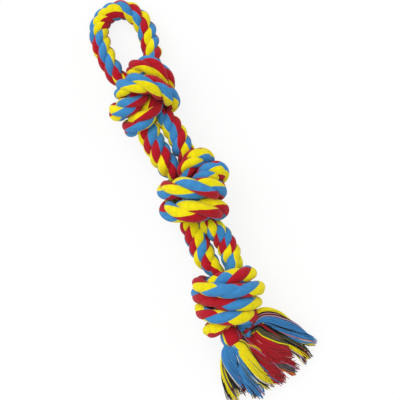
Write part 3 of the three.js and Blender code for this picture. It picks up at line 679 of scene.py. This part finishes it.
# Laid cotton, piece-dyed yarn: three bands of dye on each strand, and fine ridges along it, which are
# its outer yarns, about 1.5 mm thick. Fluff takes the edge off them. Real fluff is finer than this,
# and is drawn as coarse as it needs to show. A noise's scale is one over its size in the rope.
dyeColours = {"blue": "#408dca", "yellow": "#f5e50a", "red": "#b81626"}
cotton = {
    "yarnsRound": 26,  # outer yarns round one strand
    "yarnBump": {"Distance": 0.25 * mm, "Strength": 0.7},
    "paintedYarnShade": {"To Min": 0.9, "To Max": 1.03},  # painted shade between two yarns, and faint painted light on a yarn's crest
    "yarnWander": 0.02,  # how far a yarn strays, in turns round its strand
    "edgeWander": 0.012,  # how far a dye's edge strays, in colour turns
    "strayNoise": {"Scale": 1 / (3.0 * mm), "Detail": 3.0},
    "fluffNoise": {"Scale": 1 / (0.9 * mm), "Detail": 4.0, "Roughness": 0.65},
    "fluffBump": {"Distance": 0.18 * mm, "Strength": 0.8},
    "fluffTones": {**noiseRange, "To Min": 0.88, "To Max": 1.08},
    "mottleNoise": {"Scale": 1 / (7.0 * mm), "Detail": 2.0},
    "mottleTones": {**noiseRange, "To Min": 0.9, "To Max": 1.1},
}


def laidCotton():
    # the dye is the third in which the colour turn's fraction lies, and a yarn's ridge is half the
    # cosine of the yarn turn plus a half; both stray with a noise, and the colour is the dye times the
    # tones of mottle and fluff, times the ridge's painted shade between yarns and faint painted light on
    # crests
    material, tree, output = newMaterial("laid_dyed_cotton")
    place = addNode(tree, "ShaderNodeTexCoord").outputs["Object"]
    uv = addNode(tree, "ShaderNodeUVMap", {"uv_map": "yarn"})
    turns = addNode(tree, "ShaderNodeSeparateXYZ", links={0: uv}).outputs
    stray = addNode(tree, "ShaderNodeTexNoise", cotton["strayNoise"], {"Vector": place})
    stray = addNode(tree, "ShaderNodeMath", {"operation": "SUBTRACT", 1: 0.5}, {0: stray})
    share = addNode(tree, "ShaderNodeMath", {"operation": "MULTIPLY_ADD", 1: 2 * cotton["edgeWander"]},
                    {0: stray, 2: turns["X"]})
    share = addNode(tree, "ShaderNodeMath", {"operation": "FRACT"}, {0: share})
    colour = addNode(tree, "ShaderNodeValToRGB", links={0: share})
    colour.color_ramp.interpolation = "CONSTANT"
    stops = colour.color_ramp.elements
    stops[1].position = 1 / 3
    stops.new(2 / 3)
    for stop, dye in zip(stops, dyeColours.values()):
        stop.color = (*linear(dye), 1)
    ridge = addNode(tree, "ShaderNodeMath", {"operation": "MULTIPLY_ADD", 1: 2 * cotton["yarnWander"]},
                    {0: stray, 2: turns["Y"]})
    for settings in ({"operation": "MULTIPLY", 1: tau * cotton["yarnsRound"]}, {"operation": "COSINE"},
                     {"operation": "MULTIPLY_ADD", 1: 0.5, 2: 0.5}):
        ridge = addNode(tree, "ShaderNodeMath", settings, {0: ridge})
    mottle = addNode(tree, "ShaderNodeTexNoise", cotton["mottleNoise"], {"Vector": place})
    fluff = addNode(tree, "ShaderNodeTexNoise", cotton["fluffNoise"], {"Vector": place})
    # the ridge's tone is painted shade between the yarns and faint painted light on their crests
    for source, tones in ((mottle, "mottleTones"), (fluff, "fluffTones"), (ridge, "paintedYarnShade")):
        tone = addNode(tree, "ShaderNodeMapRange", cotton[tones], {"Value": source})
        colour = addNode(tree, "ShaderNodeVectorMath", {"operation": "SCALE"}, {0: colour, "Scale": tone})
    bump = addNode(tree, "ShaderNodeBump", cotton["yarnBump"], {"Height": ridge})
    bump = addNode(tree, "ShaderNodeBump", cotton["fluffBump"], {"Height": fluff, "Normal": bump})
    shader = addNode(tree, "ShaderNodeBsdfPrincipled", softCotton, {"Base Color": colour, "Normal": bump})
    tree.links.new(shader.outputs[0], output.inputs["Surface"])
    return material


laidCottonMaterial = laidCotton()
bodies = frame["record"]["behaviour"]["bodies"]
bodyOfNode = {node: body for body, nodes in bodies.items() for node in nodes}
# The pieces that bend, with the two bodies that each of them lies between.
bends = {"handle_neck": ("top_knot", "handle"), "upper_leg": ("middle_knot", "top_knot"),
         "lower_leg": ("middle_knot", "bottom_knot"), "rope_end": ("bottom_knot", "tassel")}


for name in pieceSpans:
    piece = laidPiece(name, laidCottonMaterial)
    kind = name[:-2]
    if kind in bends:
        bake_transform(piece)
    else:
        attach(piece, bodyOfNode[name])
    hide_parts(name)
print("laid rope:", len(pieceSpans), "pieces")

# The tassel: each end's three strands unlaid into hanks of loose yarn. The dyed yarns lie outside, and
# the core is spun from leftovers in many colours, which show between them and at the cut ends.
tassel = {
    "yarnRadius": 0.75,  # millimetres, at the hank's widest place, before packing
    "mostYarns": 170,  # in a hank
    "yarnSides": 6,
    "stepsPerRow": 7,  # rings of a yarn between two rows of its hank
    "strandThickness": 0.50,  # of a strand where it leaves the rope, in rope radii
    "strandOffset": 0.24,  # in rope diameters
    "strandStraight": 0.12,  # before it fans out, in rope diameters
    "strandHidden": 0.3,  # of a strand's yarns inside the rope's end, in rope diameters
    "coreShare": 0.62,  # of the hank's radius
    "strayShare": 0.09,  # of the outer yarns, in any colour
    "sunflowerTurn": 0.381966,  # from one yarn to the next, the smaller part of the golden section
    "packing": 0.98,  # of the room that each yarn has
    "wander": 1.5,  # how far a yarn strays at its tip, in its own radii
    "wanderPower": 1.5,  # its stray grows with this power of the share of its length
    "wanderTurns": (0.6, 1.8),  # swings to and fro along a yarn, the fewest and the most
    "looseShare": 0.07,  # of the yarns, which stray further
    "looseWander": 3.5,  # times as far
    "shortest": 0.86,  # of the hank's length
    "longest": 1.04,
    "thinning": 0.25,  # of a yarn at its cut end
    "thinningPower": 3,  # it grows with this power of the share of its length
    "seed": 11,
}
leftovers = {"black": "#1a1819", "grey": "#5d5a5c", "olive": "#57583a", "pink": "#c9809a",
             "lilac": "#a894b8", "orange": "#ee7a20", "cream": "#f3ead8", "maroon": "#5a0f20"}
palette = {**dyeColours, **leftovers}

# Where the three strands leave the face of each rope end, in turns round it.
lockTurns = {"a1": 0, "a2": 0.67, "a3": 0.33, "b1": 0.88, "b2": 0.25, "b3": 0.57}

# The hanks of each lock: how many turns they twist; their colours as shares of the way round, from the
# right-hand edge seen from the tip over the top; and where they lie. A row of places has the pixel to
# the right and down in the picture, then height, half width and half thickness in millimetres.
hankRows = [
    ["a1", 0.5, "yellow .28 black .03 pink .03 black .02 lilac .03 black .02 blue .40 yellow .08 black .11",
     [[260, 316, 43, 9, 8], [271, 317, 39, 11, 8], [285, 326, 29, 11, 8], [302, 338, 17, 9, 7],
      [315, 344, 7, 6, 5]]],
    ["a2", 0.4, "yellow .28 black .12 olive .08 black .08 yellow .14 lilac .04 black .1 yellow .1 black .06",
     [[264, 326, 34, 7, 7], [276, 334, 28, 7, 6], [290, 343, 20, 8, 6], [303, 354, 11, 8, 6],
      [309, 361, 6, 8, 5]]],
    ["a3", 0.5, "red .28 black .05 pink .02 olive .06 black .03 red .46 orange .05 cream .05",
     [[257, 328, 36, 9, 8], [263, 336, 38, 12, 9], [271, 344, 37, 14, 9], [281, 353, 26, 14, 8],
      [290, 360, 12, 9, 7]]],
    ["a3", 0.2, "olive .2 red .15 grey .2 orange .1 red .15 black .2",
     [[249, 337, 34, 9, 7], [260, 348, 29, 9, 8], [275, 360, 20, 9, 7], [287, 367, 12, 9, 7],
      [297, 373, 6, 8, 5]]],
    ["b1", 0.15, "red .06 orange .05 cream .03 yellow .03 red .59 black .14 grey .1",
     [[245, 348, 38, 8, 8], [254, 353, 34, 10, 8], [265, 364, 26, 11, 8], [275, 375, 15, 10, 7],
      [284, 383, 6, 8, 5]]],
    ["b2", 0.35, "yellow .15 black .03 yellow .38 cream .04 black .12 yellow .14 black .14",
     [[241, 346, 46, 8, 8], [245, 353, 46, 8, 8], [252, 364, 40, 8, 8], [261, 377, 25, 8, 7],
      [271, 387, 9, 8, 6]]],
    ["b2", 0.35, "black .11 cream .05 black .07 blue .58 grey .19",
     [[239, 352, 42, 8, 8], [245, 367, 35, 10, 8], [253, 383, 21, 11, 8], [260, 398, 7, 9, 6]]],
    ["b3", 0.4, "blue .56 cream .04 black .2 maroon .2",
     [[230, 349, 42, 9, 9], [230, 357, 41, 11, 9], [234, 371, 31, 11, 8], [240, 390, 12, 9, 7]]],
    ["b3", 1.2, "maroon .6 cream .1 black .25 red .05",
     [[237, 350, 45, 4, 4], [239, 363, 40, 4, 4], [241, 378, 25, 4, 4], [245, 393, 8, 5, 5]]],
    ["b3", 0.3, "black .12 yellow .5 black .12 cream .03 olive .23",
     [[227, 353, 33, 6, 6], [225, 365, 29, 6, 7], [227, 378, 20, 7, 7], [231, 391, 10, 9, 6],
      [235, 402, 6, 9, 5]]],
]


def hankLine(name, rows, face, ahead):
    # the hank's line, with its level and upward sides: centre, half width and half thickness on a curve
    # that leaves its strand's place on the rope's face, straight ahead, and then fans by its rows
    level = unit(np.array([-ahead[1], ahead[0], 0.0]))
    over = np.cross(ahead, level)
    root = (face - tassel["strandHidden"] * ropeDiameter * ahead
            + tassel["strandOffset"] * ropeDiameter * turnedBy(tau * lockTurns[name], level, over))
    neck = root + tassel["strandStraight"] * ropeDiameter * ahead
    halves = [tassel["strandThickness"] * ropeRadius] * 2
    fanned = [[*fromPicture(px, py)[:2], *others] for px, py, *others in rows]
    line = throughPoints(np.array([[*root, *halves], [*neck, *halves], *fanned]), tassel["stepsPerRow"])
    direction = alongDirections(line)
    side = unit(np.stack([-direction[:, 1], direction[:, 0], np.zeros(len(line))], 1))
    return line, side, np.cross(direction, side)


def hankYarns(line, side, over, twist, random):
    # each yarn's centres and radii: a sunflower pattern over the hank's ellipse that turns along it,
    # with a sine's stray that grows towards the tip; then read off again in equal steps of the yarn's
    # own length, so that some are cut short and some stick out
    rings = len(line)
    at = reachedLengths(line)
    at = at / at[-1]  # share of the hank's length
    count = int(min(tassel["mostYarns"], (line[:, 3] * line[:, 4]).max() / tassel["yarnRadius"] ** 2))
    number = np.arange(count)
    out = np.sqrt((number + 0.5) / count)
    turnsRound = number * tassel["sunflowerTurn"] % 1
    angle = tau * (turnsRound[:, None] - twist * at)
    phase = random.uniform(0, tau, (2, count, 1))
    rate = random.uniform(*tassel["wanderTurns"], (2, count, 1))
    radius = tassel["packing"] * np.sqrt(line[:, 3] * line[:, 4] / count)
    loose = np.where(random.random((count, 1)) < tassel["looseShare"], tassel["looseWander"], 1)
    grown = at ** tassel["wanderPower"]
    stray = tassel["wander"] * loose * radius * grown * np.sin(phase + tau * rate * at)
    a = out[:, None] * np.cos(angle) * (line[:, 3] - radius) + stray[0]
    b = out[:, None] * np.sin(angle) * (line[:, 4] - radius) + stray[1]
    centres = line[None, :, :3] + a[..., None] * side + b[..., None] * over
    length = random.uniform(tassel["shortest"], tassel["longest"], (count, 1))
    place = np.interp(at * length, at, np.arange(rings)) + np.maximum(at * length - 1, 0) * rings
    low = np.minimum(place.astype(int), rings - 2)
    share = (place - low)[..., None]
    yarn = number[:, None]
    centres = centres[yarn, low] * (1 - share) + centres[yarn, low + 1] * share
    thick = np.interp(np.minimum(at * length, 1), at, radius)
    thick = thick * (1 - tassel["thinning"] * at ** tassel["thinningPower"])
    centres[..., 2] = np.maximum(centres[..., 2], thick)
    return centres, thick, out, turnsRound


def yarnTubes(centres, thick, firstVertex):
    # closed tubes: rings of vertices about each yarn's centres, with a fan over either end
    count, rings = thick.shape
    ahead = unit(np.gradient(centres, axis=1))
    u = unit(np.cross(ahead, [0.0, 0.0, 1.0]))
    w = np.cross(ahead, u)
    n = tassel["yarnSides"]
    turn = tau * np.arange(n)[:, None] / n
    skin = centres[:, :, None] + thick[..., None, None] * turnedBy(turn, u[:, :, None], w[:, :, None])
    vertices = np.concatenate([skin.reshape(count, -1, 3), centres[:, :1], centres[:, -1:]], 1)
    perYarn = rings * n + 2
    starts = firstVertex + perYarn * np.arange(count)[:, None, None]
    k = np.arange(n)
    lastRing = (rings - 1) * n
    caps = np.vstack([np.stack([np.full(n, perYarn - 2), (k + 1) % n, k], 1),
                      np.stack([np.full(n, perYarn - 1), lastRing + k, lastRing + (k + 1) % n], 1)])
    quads = (gridFaces(rings, n, 0) + starts).reshape(-1, 4)
    triangles = (caps + starts).reshape(-1, 3)
    return vertices.reshape(-1, 3), quads, triangles, perYarn


def yarnColours(words, out, turnsRound, random):
    # the outer yarns by their place round the hank with a few strays, the core's at random
    names = words.split()[::2]
    shares = np.array([float(word) for word in words.split()[1::2]])
    every = np.array([linear(colour) for colour in palette.values()])
    order = list(palette)
    sector = np.searchsorted(np.cumsum(shares) / shares.sum(), turnsRound)
    own = np.array([order.index(name) for name in names])[np.minimum(sector, len(names) - 1)]
    mixed = random.choice(len(order), len(out))
    stray = (out < tassel["coreShare"]) | (random.random(len(out)) < tassel["strayShare"])
    return every[np.where(stray, mixed, own)]


def lockPiece(name, face, ahead, material, random):
    # all the hanks of one strand as one mesh, each with its yarns as tubes
    vertices, quads, triangles, colours = [], [], [], []
    for lock, twist, words, rows in hankRows:
        if lock != name:
            continue
        line, side, over = hankLine(name, rows, face, ahead)
        centres, thick, out, turnsRound = hankYarns(line, side, over, twist, random)
        points, sideFaces, endFaces, perYarn = yarnTubes(centres, thick, sum(map(len, vertices)))
        rgb = yarnColours(words, out, turnsRound, random)
        vertices.append(points)
        quads.append(sideFaces)
        triangles.append(endFaces)
        colours.append(np.repeat(np.hstack([rgb, np.ones((len(rgb), 1))]), perYarn, 0))
    return meshPiece("tassel_lock_" + name + "_yarns", np.vstack(vertices), np.vstack(quads),
                     np.vstack(triangles), material, colours=np.vstack(colours))


# Loose yarn: soft two-ply cotton, cut and frayed. It is matt, and its fluff shows as a grain, drawn
# coarser than it is.
yarnGrain = {
    "noise": {"Scale": 1 / (0.8 * mm), "Detail": 4.0},
    "bump": {"Distance": 0.2 * mm, "Strength": 0.8},
    "tones": {**noiseRange, "To Min": 0.82, "To Max": 1.1},
}


def looseYarn():
    # the dye of each yarn times the tone of its grain
    material, tree, output = newMaterial("loose_cotton_yarn")
    place = addNode(tree, "ShaderNodeTexCoord").outputs["Object"]
    fluff = addNode(tree, "ShaderNodeTexNoise", yarnGrain["noise"], {"Vector": place})
    tone = addNode(tree, "ShaderNodeMapRange", yarnGrain["tones"], {"Value": fluff})
    dye = addNode(tree, "ShaderNodeVertexColor", {"layer_name": "yarnColour"})
    colour = addNode(tree, "ShaderNodeVectorMath", {"operation": "SCALE"}, {0: dye, "Scale": tone})
    bump = addNode(tree, "ShaderNodeBump", yarnGrain["bump"], {"Height": fluff})
    shader = addNode(tree, "ShaderNodeBsdfPrincipled", softCotton, {"Base Color": colour, "Normal": bump})
    tree.links.new(shader.outputs[0], output.inputs["Surface"])
    return material


looseYarnMaterial = looseYarn()
random = np.random.default_rng(tassel["seed"])
ropeEnds = {"a": (settled[0, :3], unit(settled[0, :3] - settled[1, :3])),
            "b": (settled[-1, :3], unit(settled[-1, :3] - settled[-2, :3]))}
for lock in lockTurns:
    face, ahead = ropeEnds[lock[0]]
    piece = lockPiece(lock, face, ahead, looseYarnMaterial, random)
    node = "tassel_lock_" + lock
    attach(piece, "tassel")
    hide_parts(node)
print("tassel:", len(hankRows), "hanks in", len(lockTurns), "locks")

# White paper under the toy and soft light from the picture's upper left, at a level where colours
# render about as written. To the camera the paper is mostly plain white, and keeps a faint shadow.
studio = {
    "floorSize": 6.0,  # metres
    "floorColour": "#ffffff",
    "plainShare": 0.84,  # of the paper's look that is plain white
    "worldStrength": 0.66,
    "sunStrength": 1.45,
    "sunSpread": 60,  # degrees, as the next two
    "sunTilt": 34,
    "sunTurn": 298,
}


def studioFloor():
    # white paper: diffuse, mixed with plain white where a ray comes straight from the camera, off a
    # glossy surface or through a clear one
    material, tree, output = newMaterial("studio_paper")
    white = (*linear(studio["floorColour"]), 1)
    paper = addNode(tree, "ShaderNodeBsdfDiffuse", {"Color": white})
    plain = addNode(tree, "ShaderNodeEmission", {"Color": white, "Strength": 1.0})
    rays = addNode(tree, "ShaderNodeLightPath").outputs
    seen = rays["Is Camera Ray"]
    for kind in ("Is Glossy Ray", "Is Transmission Ray"):
        seen = addNode(tree, "ShaderNodeMath", {"operation": "MAXIMUM"}, {0: seen, 1: rays[kind]})
    share = addNode(tree, "ShaderNodeMath", {"operation": "MULTIPLY", 1: studio["plainShare"]}, {0: seen})
    shader = addNode(tree, "ShaderNodeMixShader", links={0: share, 1: paper, 2: plain})
    tree.links.new(shader.outputs[0], output.inputs["Surface"])
    half = studio["floorSize"] / 2 / mm
    corners = np.array([[-half, -half, 0], [half, -half, 0], [half, half, 0], [-half, half, 0]])
    floor = meshPiece("floor", corners, np.array([[0, 1, 2, 3]]), np.zeros((0, 3), int), material)


def studioLight():
    # an even white world, and one wide sun tilted from straight above and turned about it
    world = bpy.data.worlds.new("studio")
    bpy.context.scene.world = world
    world.use_nodes = True
    background = world.node_tree.nodes["Background"]
    background.inputs["Color"].default_value = (1, 1, 1, 1)
    background.inputs["Strength"].default_value = studio["worldStrength"]
    sun = newObject("sun", bpy.data.lights.new("sun", "SUN"))
    sun.data.energy = studio["sunStrength"]
    sun.data.angle = math.radians(studio["sunSpread"])
    sun.rotation_euler = (math.radians(studio["sunTilt"]), 0, math.radians(studio["sunTurn"]))


studioFloor()
studioLight()
bpy.context.scene.view_settings.view_transform = "Standard"
